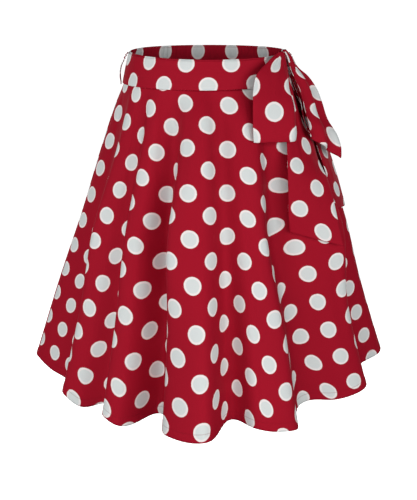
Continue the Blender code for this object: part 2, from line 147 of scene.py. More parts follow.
def smooth_rows(places, rows, at, period=0.0):
    """A smooth curve through table rows at rising places; closed where it has a period."""
    places, rows, at = (np.asarray(v, float) for v in (places, rows, at))
    if period:
        places = np.concatenate([[places[-1] - period], places, places[:2] + period])
        rows = np.concatenate([rows[-1:], rows, rows[:2]])
        at = (at - places[1]) % period + places[1]
    else:
        places = np.concatenate([[2 * places[0] - places[1]], places,
                                 [2 * places[-1] - places[-2]]])
        rows = np.concatenate([[2 * rows[0] - rows[1]], rows, [2 * rows[-1] - rows[-2]]])
    step = np.diff(places)
    rise = np.diff(rows, axis=0) / step[:, None]
    slope = (step[1:, None] * rise[:-1] + step[:-1, None] * rise[1:]) \
        / (step[1:] + step[:-1])[:, None]
    i = np.clip(np.searchsorted(places, at, side="right") - 1, 1, len(places) - 3)
    h = step[i][:, None]
    t = (at - places[i])[:, None] / h
    return ((2 * t**3 - 3 * t**2 + 1) * rows[i] + (t**3 - 2 * t**2 + t) * h * slope[i - 1]
            + (3 * t**2 - 2 * t**3) * rows[i + 1] + (t**3 - t**2) * h * slope[i])


def run_along(points):
    """Distance along a run of points, from its first."""
    return np.concatenate([[0.0], np.cumsum(np.linalg.norm(np.diff(points, axis=0), axis=1))])


TURN = np.linspace(-math.pi, math.pi, 7201)
SEAM_RUN = run_along(np.column_stack([SEAM_SIDE * np.sin(TURN), -SEAM_FRONT * np.cos(TURN)]))
CUT_RADIUS = SEAM_RUN[-1] / math.radians(HALF)   # waist radius of the half circle


def ellipse_place(cut, side, front, back):
    """The plan place, at a level where the skirt is an ellipse, of a place on the cut."""
    cut = (np.asarray(cut, float) + HALF / 2) % HALF - HALF / 2
    turn = np.interp(np.radians(cut) * CUT_RADIUS + SEAM_RUN[-1] / 2, SEAM_RUN, TURN)
    deep = np.where(np.cos(turn) > 0, front, back)
    return np.column_stack([side * np.sin(turn), -deep * np.cos(turn)])


def seam_place(cut):
    return ellipse_place(cut, SEAM_SIDE, SEAM_FRONT, SEAM_FRONT)


def bare_hem_place(cut):
    return ellipse_place(cut, BARE_HEM_SIDE, BARE_HEM_FRONT, BARE_HEM_BACK)


FOLD_PLACES = np.array([place for fold in FOLDS.values() for place in fold])
FOLD_CUTS = FOLD_PLACES[:, 0]
FOLD_SWINGS = np.zeros((len(FOLD_CUTS), 2))
for swing_cut, *swing in SWINGS.values():
    FOLD_SWINGS[FOLD_CUTS == swing_cut] = swing
ONCE_ROUND = np.linspace(-QUARTER, HALF - QUARTER, 2881)
ANCHORS = (-QUARTER, 0.0, QUARTER, 2 * QUARTER, 3 * QUARTER)


def section(down, cuts):
    """The skirt in plan at a share (0 seam, 1 hem) of the way down. The folds are as
    deep as the cut's length at that level needs."""
    seam, bare = seam_place(FOLD_CUTS), bare_hem_place(FOLD_CUTS)
    outward = bare / np.linalg.norm(bare, axis=1)[:, None]
    plain = seam + (bare - seam) * down + outward * HIP_EASE * math.sin(math.pi * down)
    plain += FOLD_SWINGS * math.exp(-((down - SWING_LEVEL) / SWING_REACH)**2)
    fold = FOLD_PLACES[:, 1:3] - bare
    length = math.radians(HALF) * (CUT_RADIUS + SKIRT_LENGTH * down)
    shallow, deep = 0.0, 2.0
    for _ in range(30):
        depth = (shallow + deep) / 2
        ring = smooth_rows(FOLD_CUTS, plain + depth * fold, ONCE_ROUND, HALF)
        run = run_along(ring)
        if run[-1] < length:
            shallow = depth
        else:
            deep = depth
    anchored = np.interp(cuts, ANCHORS, np.interp(ANCHORS, ONCE_ROUND, run))
    return np.column_stack([np.interp(anchored, run, ring[:, k]) for k in (0, 1)])


def skirt_grid(cuts, rows):
    """Points of the cloth's outside: rows from seam to hem, a column for each cut angle."""
    here = seam_place(cuts)
    height = np.full(len(cuts), -BAND_HEIGHT - SEAM_GAP)
    lift = smooth_rows(FOLD_CUTS, FOLD_PLACES[:, 3:], cuts, HALF)[:, 0]
    grid = [np.column_stack([here, height])]
    step = SKIRT_LENGTH / rows
    for row in range(1, rows + 1):
        below = section(row / rows, cuts)
        across = np.linalg.norm(below - here, axis=1)
        height = height - np.sqrt(np.maximum(step**2 - across**2, (0.3 * step)**2))
        grid.append(np.column_stack([below, height + lift * (row / rows)**1.5]))
        here = below
    return np.array(grid)


def outward_normals(grid, ring=False):
    """Unit normals of a grid whose rows run down and whose columns run to the right."""
    down = np.gradient(grid, axis=0)
    if ring:
        right = np.roll(grid, -1, axis=1) - np.roll(grid, 1, axis=1)
    else:
        right = np.gradient(grid, axis=1)
    normal = np.cross(down, right)
    return normal / np.maximum(np.linalg.norm(normal, axis=2), 1e-12)[:, :, None]


def ease(value, start, end):
    """0 before start, 1 after end and smooth between."""
    t = np.clip((value - start) / (end - start), 0.0, 1.0)
    return t * t * (3 - 2 * t)


def cloth_mesh(name, points, maps, ring=False, loop=False, capped=False):
    """A piece of cloth on a grid of points. ring joins the last column to the first,
    loop the last row to the first, and capped closes the two ends of a ring. maps are
    places on the flat cloth, in metres, with one more column or row where it is joined."""
    rows, columns = points.shape[:2]
    r, c = np.meshgrid(np.arange(rows if loop else rows - 1),
                       np.arange(columns if ring else columns - 1), indexing="ij")
    corner_row = np.stack([r, r + 1, r + 1, r], -1).reshape(-1, 4)
    corner_column = np.stack([c, c, c + 1, c + 1], -1).reshape(-1, 4)
    if capped:
        j = np.arange(columns // 2 - 1)
        first = np.stack([j, j + 1, columns - 2 - j, columns - 1 - j], -1)
        last = first[:, ::-1]
        corner_row = np.concatenate([corner_row, 0 * first, 0 * last + rows - 1])
        corner_column = np.concatenate([corner_column, first, last])
    faces = (corner_row % rows) * columns + corner_column % columns
    mesh = bpy.data.meshes.new(name)
    mesh.from_pydata(points.reshape(-1, 3).tolist(), [], faces.tolist())
    for map_name, places in maps.items():
        layer = mesh.uv_layers.new(name=map_name)
        layer.data.foreach_set("uv", places[corner_row, corner_column].reshape(-1))
    mesh.shade_smooth()
    obj = bpy.data.objects.new(name, mesh)
    scene.collection.objects.link(obj)
    return obj


def add_node(tree, kind, inputs=None, **settings):
    """Adds a node. inputs gives a socket, by its name or number, a value or a node."""
    new = tree.nodes.new(kind)
    for setting, value in settings.items():
        setattr(new, setting, value)
    for key, value in (inputs or {}).items():
        socket = new.inputs[key] if isinstance(key, int) else next(
            s for s in new.inputs if s.enabled and s.name == key)
        if isinstance(value, bpy.types.Node):
            value = next(s for s in value.outputs if s.enabled)
        if isinstance(value, bpy.types.NodeSocket):
            tree.links.new(value, socket)
        else:
            socket.default_value = value
    return new


def linear(hex_colour):
    """A linear colour from an sRGB hex value."""
    parts = [int(hex_colour[i:i + 2], 16) / 255 for i in (1, 3, 5)]
    return [p / 12.92 if p <= 0.04045 else ((p + 0.055) / 1.055)**2.4 for p in parts] + [1.0]


DOT_SPACING, DOT_DIAMETER = 0.038, 0.030   # between rows of the print, and of a dot
THREAD_SPACING = 0.0011                    # really 0.35 mm, drawn so that it shows
INK_BLEED = 0.0009                         # how far a dot's edge wanders into the weave


def printed_cotton(name, red="#AD0E28", white="#E1E6E5", rim="#FFF5F3", stitch_rows=(),
                   crushed=0.0):
    """Cotton sateen, woven, dyed red and discharged to white dots: matt with a close
    weave, so the eye sees an even colour, a whiter rim on each dot and a faint rumple.
    stitch_rows are distances from the piece's edge at which it is topstitched."""
    material = bpy.data.materials.new(name)
    material.use_nodes = True
    tree = material.node_tree
    shader = tree.nodes["Principled BSDF"]
    shader.inputs["Roughness"].default_value = 0.80
    shader.inputs["Specular IOR Level"].default_value = 0.12
    noise, wave, ramp = "ShaderNodeTexNoise", "ShaderNodeTexWave", "ShaderNodeMapRange"
    maths, vector, mix = "ShaderNodeMath", "ShaderNodeVectorMath", "ShaderNodeMix"

    # The print: two square grids of dots, the second midway between the first
    flat = add_node(tree, "ShaderNodeUVMap", uv_map="print")
    bleed = add_node(tree, noise, {"Vector": flat, "Scale": 260.0, "Detail": 2.0})
    place = add_node(tree, vector, {0: bleed.outputs["Color"], 1: (INK_BLEED,) * 3, 2: flat},
                     operation="MULTIPLY_ADD")
    off_centre = DOT_SPACING
    for shift in (0.0, DOT_SPACING):
        moved = add_node(tree, vector, {0: place, 1: (shift, shift, 0.0)}, operation="ADD")
        cell = add_node(tree, vector, {0: moved, 1: (DOT_SPACING,) * 3,
                                       2: (-DOT_SPACING,) * 3}, operation="WRAP")
        level = add_node(tree, vector, {0: cell, 1: (1.0, 1.0, 0.0)}, operation="MULTIPLY")
        distance = add_node(tree, vector, {0: level}, operation="LENGTH")
        off_centre = add_node(tree, maths, {0: off_centre, 1: distance}, operation="MINIMUM")
    edge_of_dot = DOT_DIAMETER / 2
    dot = add_node(tree, ramp, {0: off_centre, 1: edge_of_dot + 0.0005, 2: edge_of_dot - 0.0005},
                   interpolation_type="SMOOTHSTEP")
    in_rim = add_node(tree, ramp, {0: off_centre, 1: edge_of_dot - 0.0046,
                                   2: edge_of_dot - 0.0022}, interpolation_type="SMOOTHSTEP")

    # Dye, ink and threads
    patchy = add_node(tree, noise, {"Vector": flat, "Scale": 9.0, "Detail": 3.0})
    thread = add_node(tree, noise, {"Vector": flat, "Scale": 900.0, "Detail": 2.0})
    shade = add_node(tree, maths, {0: thread, 1: 0.22}, operation="MULTIPLY")
    dye = add_node(tree, mix, {"Factor": patchy, "A": linear(red), "B": linear("#A50D26")},
                   data_type="RGBA")
    dye = add_node(tree, mix, {"Factor": shade, "A": dye, "B": linear("#7E0A1C")},
                   data_type="RGBA")
    ink = add_node(tree, mix, {"Factor": in_rim, "A": linear(white), "B": linear(rim)},
                   data_type="RGBA")
    ink = add_node(tree, mix, {"Factor": shade, "A": ink, "B": linear("#C6CACB")},
                   data_type="RGBA")
    colour = add_node(tree, mix, {"Factor": dot, "A": dye, "B": ink}, data_type="RGBA")

    relief = add_node(tree, maths, {0: thread, 1: 0.25}, operation="MULTIPLY")
    for direction, finer in (("X", 0.9), ("Y", 1.3)):
        # a wave texture at scale 1 repeats every 0.05 of a unit
        yarns = add_node(tree, wave, {"Vector": flat, "Scale": 0.05 / THREAD_SPACING * finer,
                                      "Distortion": 1.2, "Detail": 1.0},
                         bands_direction=direction)
        relief = add_node(tree, maths, {0: yarns.outputs["Fac"], 1: 0.10, 2: relief},
                          operation="MULTIPLY_ADD")
    rumple = add_node(tree, noise, {"Vector": flat, "Scale": 30.0, "Detail": 3.0})
    relief = add_node(tree, maths, {0: rumple, 1: 2.2 + 2.0 * crushed, 2: relief},
                      operation="MULTIPLY_ADD")

    # Topstitching: 3 mm stitches, each pressing a shallow furrow
    edge = add_node(tree, "ShaderNodeUVMap", uv_map="edge")
    along_in = add_node(tree, "ShaderNodeSeparateXYZ", {0: edge})
    stitch_phase = add_node(tree, maths, {0: along_in.outputs["X"], 1: 0.0015, 2: -0.0015},
                            operation="WRAP")
    off_stitch = add_node(tree, maths, {0: stitch_phase}, operation="ABSOLUTE")
    for stitch_row in stitch_rows:
        off_row = add_node(tree, maths, {0: along_in.outputs["Y"], 1: stitch_row},
                           operation="SUBTRACT")
        off_row = add_node(tree, maths, {0: off_row}, operation="ABSOLUTE")
        furrow = add_node(tree, ramp, {0: off_row, 1: 0.0016, 2: 0.0002})
        on_row = add_node(tree, ramp, {0: off_row, 1: 0.0005, 2: 0.0003})
        stitch = add_node(tree, ramp, {0: off_stitch, 1: 0.0014, 2: 0.0010, 4: on_row})
        relief = add_node(tree, maths, {0: furrow, 1: -0.8, 2: relief},
                          operation="MULTIPLY_ADD")
        relief = add_node(tree, maths, {0: stitch, 1: 0.9, 2: relief},
                          operation="MULTIPLY_ADD")
        in_shade = add_node(tree, maths, {0: furrow, 1: 0.10}, operation="MULTIPLY")
        sewn = add_node(tree, maths, {0: stitch, 1: 0.35}, operation="MULTIPLY")
        colour = add_node(tree, mix, {"Factor": in_shade, "A": colour, "B": linear("#5E0614")},
                          data_type="RGBA")
        colour = add_node(tree, mix, {"Factor": sewn, "A": colour, "B": linear("#A91229")},
                          data_type="RGBA")

    bump = add_node(tree, "ShaderNodeBump", {"Height": relief, "Strength": 0.5,
                                             "Distance": 0.0005})
    tree.links.new(bump.outputs["Normal"], shader.inputs["Normal"])
    tree.links.new(next(s for s in colour.outputs if s.enabled), shader.inputs["Base Color"])
    return material


SKIRT_CLOTH = printed_cotton("Printed cotton sateen, skirt", stitch_rows=(HEM_TURNING,))
SKIRT_REVERSE = printed_cotton("Printed cotton sateen, reverse of the skirt", red="#A23043",
                               white="#D9BDBE", rim="#DCC4C5",
                               stitch_rows=(HEM_TURNING,))
PRINT_START = 0.0633                       # first dot below the waist seam, at centre front

# How far the print lies off the plain cut: a least-squares solution for the dots of the
# worn front, thinned from four levels to three and rounded. It also takes up what the
# folds above miss, so it doesn't show how the cloth was eased. The last three rows are set
# to close the round at the back. Degrees of the cut; millimetres it lies higher
# near the waist, at the middle and at the hem; millimetres to the left at the same three.
PRINT_STRAY = (
    (-45.0, 22, 19, 16, -12, 0, 12),
    (-32.0, 20, 21, 16, -13, 0, 14),
    (-21.0, 13, 17, 10, 1, 12, 9),
    (-12.0, 8, 12, 4, 4, 0, 6),
    (-3.0, 2, 2, -7, 4, -1, -8),
    (5.0, 2, 2, 0, 3, 9, 1),
    (11.0, -1, -7, -12, 4, 21, 27),
    (20.0, -8, -1, 3, 8, -8, 14),
    (27.0, -9, -9, -16, -6, -14, 0),
    (36.0, -12, -17, -26, -11, -17, -12),
    (45.0, -8, -10, -12, -6, -8, -6),
    (90.0, 0, 0, 0, 0, 0, 0),
    (135.0, 22, 19, 16, -12, 0, 12),
)

for panel_name, start in (("skirt_front", -QUARTER), ("skirt_back", QUARTER)):
    # The folds, then the creases, the hem and the seams as moves in and out of them
    edge_gap = math.degrees(SEAM_SPREAD / 2 / (CUT_RADIUS + SKIRT_LENGTH))
    cuts = np.linspace(start + edge_gap, start + 2 * QUARTER - edge_gap, PANEL_COLUMNS + 1)
    past = cuts[1] - cuts[0]                       # a column more at each side, for the normals
    coarse = skirt_grid(np.concatenate([[cuts[0] - past], cuts, [cuts[-1] + past]]), COARSE_ROWS)
    levels = np.arange(COARSE_ROWS + 1.0)
    fine = np.linspace(0.0, COARSE_ROWS, COARSE_ROWS * ROWS_EACH + 1)
    grid = smooth_rows(levels, coarse.reshape(len(levels), -1), fine).reshape(len(fine), -1, 3)
    outward, grid = outward_normals(grid)[:, 1:-1], grid[:, 1:-1]
    fall = (fine / COARSE_ROWS)[:, None]
    radius = CUT_RADIUS + SKIRT_LENGTH * fall
    out = np.zeros(grid.shape[:2])
    for top_cut, moved, begins, ends, half_width, depth in SKIRT_CREASES:
        share = np.clip((fall - begins) / (ends - begins), 0.0, 1.0)
        off = np.radians(cuts[None, :] - top_cut - moved * share) * radius
        out -= depth / 1000 * np.sin(np.pi * share)**0.8 \
            * np.exp(-(off / (half_width / 1000 * (0.7 + 0.6 * share)))**2)
    above_hem = SKIRT_LENGTH * (1.0 - fall)
    along_hem = np.radians(cuts - start)[None, :] * (CUT_RADIUS + SKIRT_LENGTH)
    in_hem = ease(above_hem, HEM_TURNING + 0.002, HEM_TURNING - 0.001)
    rope = np.sin(2 * np.pi * (along_hem + 0.6 * above_hem) / ROPE_WAVE
                  + 2.0 * np.sin(along_hem * 23.0))
    out += HEM_STEP * in_hem + ROPE_DEPTH * rope * in_hem
    from_seam = np.radians(np.minimum(cuts - cuts[0], cuts[-1] - cuts))[None, :] * radius
    out -= SEAM_GROOVE * np.exp(-(from_seam / SEAM_REACH)**2)
    grid = grid + outward * out[:, :, None]

    stray = smooth_rows([row[0] for row in PRINT_STRAY],
                        np.array(PRINT_STRAY)[:, 1:] / 1000, cuts).T[:, None, :]
    upper, lower = ease(fall, 0.08, 0.55), ease(fall, 0.50, 0.95)
    higher = stray[0] + (stray[1] - stray[0]) * upper + (stray[2] - stray[1]) * lower
    leftward = stray[3] + (stray[4] - stray[3]) * upper + (stray[5] - stray[4]) * lower
    turn = np.radians(cuts - start - QUARTER)[None, :] + leftward / radius
    flat_print = np.stack([(radius + higher) * np.sin(turn), CUT_RADIUS + PRINT_START
                           - (radius + higher) * np.cos(turn)], axis=2)
    flat_edge = np.stack([along_hem + 0 * fall, above_hem + 0 * along_hem], axis=2)
    panel = cloth_mesh(panel_name + "_cloth", grid, {"print": flat_print, "edge": flat_edge})
    for cloth in (SKIRT_CLOTH, SKIRT_REVERSE):
        panel.data.materials.append(cloth)
    thickness = panel.modifiers.new("Cloth thickness", "SOLIDIFY")
    thickness.thickness, thickness.offset = SHELL, -1.0
    thickness.use_even_offset = False
    thickness.material_offset = 1
    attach(panel, "root")
    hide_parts(panel_name)


# THE WAISTBAND
# A folded strip of the same cloth. The front half is flat over an interlining; the back
# half is gathered on an elastic, whose small upright ribs show inside the back waist.

WAIST_SIDE, WAIST_FRONT = 0.1385, 0.1010   # half widths of the band's top edge
WAIST_DIP, SIDE_RISE = 0.003, 0.002        # of the top edge: down in front, up at the sides
BAND_WALL = 0.0022
RIBS, RIB_DEPTH = 44, 0.0011
RIB_STRAY = 0.004                          # how unevenly the ribs are spaced, as a share
FLAT_ENDS = (0.004, 0.020)                 # shares of the half beside its seams, without ribs
GATHER = 1.2                               # cloth to finished length at the back
BAND_STITCH = 0.0035                       # of the stitching above the waist seam


def band_place(turn, height, out):
    """A point by the band: its half widths grow from the top edge to the seam."""
    share = np.clip(-height / BAND_HEIGHT, 0.0, 1.1)
    side = WAIST_SIDE + (SEAM_SIDE - WAIST_SIDE) * share + out
    front = WAIST_FRONT + (SEAM_FRONT - WAIST_FRONT) * share + out
    rise = (SIDE_RISE * np.sin(turn)**2 - WAIST_DIP * np.cos(turn)) * np.maximum(1.0 - share, 0.0)
    return np.stack([side * np.sin(turn), -front * np.cos(turn), height + rise], axis=2)


def folded_edges(top, foot, wall, steps=14, round_steps=5, round_foot=False):
    """Heights and inward moves once round the section of a folded strip: up the
    outside, over the fold, down the inside, and round the foot if that is a fold too."""
    r = wall / 2
    bend = np.linspace(0.0, math.pi, round_steps + 2)[1:-1]
    low = foot + (r if round_foot else 0.0)
    up = np.linspace(low, top - r, steps)
    heights = [up, top - r + r * np.sin(bend), up[::-1]]
    inward = [0 * up, r - r * np.cos(bend), 0 * up + wall]
    if round_foot:
        heights.append(low - r * np.sin(bend))
        inward.append(r + r * np.cos(bend))
    return np.concatenate(heights), np.concatenate(inward)


def strip_maps(along, heights, inward, top, foot, wall, start=(0.0, 0.0)):
    """Flat places round a folded strip: the print runs up the outside and, folded over,
    down the inside, and the edge map measures from the strip's nearer edge."""
    heights, inward = (np.append(v, v[0]) for v in (heights, inward))
    inside = ease(inward, 0.45 * wall, 0.55 * wall)
    up = heights * (1 - inside) + (2 * top - heights) * inside
    ones = np.ones((len(along), 1))
    prints = np.stack([along[:, None] + start[0] + 0 * up[None, :],
                       ones * (up[None, :] + start[1])], axis=2)
    edges = np.stack([along[:, None] + 0 * up[None, :],
                      ones * np.minimum(top - heights, heights - foot)[None, :]], axis=2)
    return {"print": prints, "edge": edges}


PRINT_DRAWN, DRAWN_WIDTH = 0.8, 0.15       # how hard it is drawn forward, and over what width


def drawn_print(along):
    """Places along the print, which is drawn forward on the left of the front."""
    return along - PRINT_DRAWN * np.clip(along, -DRAWN_WIDTH, 0.0)**2


BAND_CLOTH = printed_cotton("Printed cotton sateen, waistband", stitch_rows=(BAND_STITCH,),
                            crushed=0.5)
band_end = SEAM_GAP / 2 / SEAM_FRONT
for band_name, first, steps, fullness, print_start in (
        ("waistband_front", -math.pi / 2, 180, 1.0, (0.038, 0.007)),
        ("waistband_back", math.pi / 2, 704, GATHER, (0.014, 0.027))):
    turn = np.linspace(first + band_end, first + math.pi - band_end, steps + 1)[:, None]
    heights, inward = folded_edges(0.0, -BAND_HEIGHT, BAND_WALL)
    out = -inward[None, :] + 0 * turn
    if fullness > 1.0:
        share = (turn - turn[0]) / (turn[-1] - turn[0])
        drawn = ease(np.minimum(share, 1 - share), *FLAT_ENDS)
        uneven = 0.75 + 0.25 * np.sin(37.0 * share + 2.0 * np.sin(11.0 * share))
        place = share + RIB_STRAY * np.sin(19.0 * share)
        rib = 0.5 - 0.5 * np.cos(2 * np.pi * RIBS * place)
        deep = np.where(inward[None, :] < BAND_WALL / 2, -RIB_DEPTH, -1.3 * RIB_DEPTH)
        out = out + deep * uneven * rib * drawn
    points = band_place(turn, heights[None, :], out)
    run = run_along(band_place(turn, np.zeros((1, 1)), np.zeros((1, 1)))[:, 0])
    along = (run - run[-1] / 2) * fullness
    if band_name == "waistband_front":
        along = drawn_print(along)
    band = cloth_mesh(band_name + "_cloth", points,
                      strip_maps(along, heights, inward, 0.0, -BAND_HEIGHT, BAND_WALL,
                                 print_start), ring=True, capped=True)
    band.data.materials.append(BAND_CLOTH)
    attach(band, "root")
    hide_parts(band_name)


# THE BELT CARRIERS
# Narrow folded strips at the side seams, bowed out round the sash; the real ones' edge
# stitching down both sides is not drawn. Real ones are sewn into the band's top edge and
# over the waist seam; the ends of these stand 2 to 4 mm off the band and the skirt.

CARRIER_WIDTH, CARRIER_WALL = 0.008, 0.0014
CARRIER_STEPS, CARRIER_ACROSS = 48, 10
CARRIER_TWIST = 0.0012                     # its back edge lies further out half way down
CARRIER_PRINT = {"belt_loop_left": (0.003, 0.034), "belt_loop_right": (-0.030, 0.020)}


def strip_shell(centre, wall, edge_share=0.35):
    """A pressed tube of cloth round a grid of middle points (rows down, columns to the
    right): its outer layer, then its inner one, thin and rounded at both edges."""
    across = centre.shape[1]
    share = np.linspace(-1.0, 1.0, across)
    half = wall / 2 * (edge_share + (1 - edge_share) * (1 - share**6)**0.5)
    lift = outward_normals(centre) * half[None, :, None]
    return np.concatenate([centre + lift, (centre - lift)[:, ::-1]], axis=1)


def shell_maps(centre, flat_width, start, dot_size=1.0):
    """Flat places round a pressed tube: the print, its dots drawn at dot_size, runs across
    the outer layer and on round the fold; the edge map measures from the nearer long edge."""
    across = centre.shape[1]
    run = run_along(centre[:, across // 2])
    share = np.linspace(-1.0, 1.0, across)
    ring = np.concatenate([share, 2 + share, [3 + 2 / across]]) * flat_width / 2
    inward = np.concatenate([1 - np.abs(share)] * 2 + [[0.0]]) * flat_width / 2
    rows = np.ones((len(run), 1))
    prints = np.stack([rows * (ring[None, :] - start[0]),
                       run[:, None] - start[1] + 0 * ring[None, :]], axis=2) / dot_size
    edges = np.stack([run[:, None] + 0 * ring[None, :], rows * inward[None, :]], axis=2)
    return {"print": prints, "edge": edges}


CARRIER_CLOTH = printed_cotton("Printed cotton sateen, carriers")
for carrier_name, side in (("belt_loop_left", -1), ("belt_loop_right", 1)):
    # Its line down the middle follows the solid's own outline at that height
    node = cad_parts[carrier_name]
    solid = np.array([v.co for v in node.data.vertices])
    levels = np.unique(np.round(solid[:, 2], 4))[::-1]
    reach = [np.abs(solid[np.abs(solid[:, 2] - z) < 0.0006, 0]).mean() for z in levels]
    middle = smooth_rows(-levels, np.column_stack([reach, levels]),
                         np.linspace(-levels[0], -levels[-1], CARRIER_STEPS + 1))
    across = np.linspace(-CARRIER_WIDTH / 2, CARRIER_WIDTH / 2, CARRIER_ACROSS + 1) * side
    twist = CARRIER_TWIST * np.sin(np.linspace(0.0, math.pi, CARRIER_STEPS + 1))[:, None]
    centre = np.stack([side * middle[:, :1] + twist * across[None, :] / CARRIER_WIDTH,
                       across[None, :] + 0 * twist, middle[:, 1:] + 0 * across], axis=2)
    points = strip_shell(centre, CARRIER_WALL)
    maps = shell_maps(centre, CARRIER_WIDTH, CARRIER_PRINT[carrier_name])
    carrier = cloth_mesh(carrier_name + "_cloth", points, maps, ring=True, capped=True)
    carrier.data.materials.append(CARRIER_CLOTH)
    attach(carrier, "root")
    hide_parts(carrier_name)


# THE SASH ROUND THE WAIST
# The middle of one long strip, sewn as a tube and pressed flat. It lies over the band,
# drawn tight, a little crushed where it goes into the knot.

SASH_WALL = 0.0020
SASH_TOP, SASH_FOOT = -0.0022, -0.0528
SASH_ROLL = 0.0007
SASH_FLAT = 0.092                          # the pressed tube's own width
SASH_DRAWN, DRAWN_REACH = 0.016, 30.0      # its foot drawn up at the knot, and for how many degrees
KNOT_BEARING = 66.5
SASH_STATIONS = 480

# Creases along the sash: degrees round from the front at its middle, half its length in
# degrees, height, how far it climbs towards the right, half width and depth (millimetres)
SASH_CREASES = (
    (-62.0, 26.0, -0.038, 0.004, 3.0, 0.7), (-20.0, 22.0, -0.046, 0.002, 2.5, 0.6),
    (8.0, 30.0, -0.020, -0.003, 4.0, 0.6), (44.0, 16.0, -0.036, 0.012, 3.5, 1.0),
    (52.0, 12.0, -0.026, 0.006, 3.0, 0.9), (56.0, 10.0, -0.010, -0.005, 2.5, 0.8),
    (88.0, 10.0, -0.024, -0.008, 3.0, 0.9), (92.0, 14.0, -0.034, -0.013, 3.5, 0.9),
    (130.0, 30.0, -0.030, 0.003, 4.0, 0.7), (170.0, 24.0, -0.018, -0.004, 3.5, 0.6),
    (-140.0, 28.0, -0.036, 0.004, 4.0, 0.7), (-105.0, 18.0, -0.016, -0.003, 3.0, 0.6),
)

SASH_CLOTH = printed_cotton("Printed cotton sateen, sash", crushed=1.0)
turn = np.linspace(-math.pi, math.pi, SASH_STATIONS + 1)[:-1, None]
heights, inward = folded_edges(SASH_TOP, SASH_FOOT, SASH_WALL, steps=22, round_foot=True)
clear = SEAM_GAP + SASH_WALL
roll = SASH_ROLL * ease(-heights, -SASH_TOP, -(SASH_TOP + SASH_FOOT) / 2)
out = clear + roll[None, :] - inward[None, :] + 0 * turn
outside = inward[None, :] < 0.5 * SASH_WALL
bearing = np.degrees(turn)
for middle, half_length, height, climb, half_width, depth in SASH_CREASES:
    away = (bearing - middle + 180.0) % 360.0 - 180.0
    share = np.clip(np.abs(away) / half_length, 0.0, 1.0)
    line = height + climb * away / half_length
    out -= outside * depth / 1000 * np.cos(share * np.pi / 2)**2 \
        * np.exp(-((heights[None, :] - line) / (half_width / 1000))**2)
from_knot = (bearing - KNOT_BEARING + 180.0) % 360.0 - 180.0
drawn = 1.0 - SASH_DRAWN * np.exp(-(from_knot / DRAWN_REACH)**2) / (SASH_TOP - SASH_FOOT)
points = band_place(turn, SASH_TOP + (heights[None, :] - SASH_TOP) * drawn, out)
around = np.append(turn[:, 0], math.pi)[:, None]
run = run_along(band_place(around, np.full((1, 1), SASH_TOP), np.full((1, 1), clear))[:, 0])
along = drawn_print(run - run[-1] / 2)
maps = strip_maps(along, heights, inward, SASH_TOP, SASH_FOOT, SASH_WALL, (0.038, 0.0065))
sash = cloth_mesh("sash_waist_cloth", points, maps, ring=True, loop=True)
sash.data.materials.append(SASH_CLOTH)
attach(sash, "root")
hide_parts("sash_waist")


# THE BOW
# What is left of the sash: two loops and two tails that come out of the knot in pleats,
# open to the full width of the strip and hang over the hip.

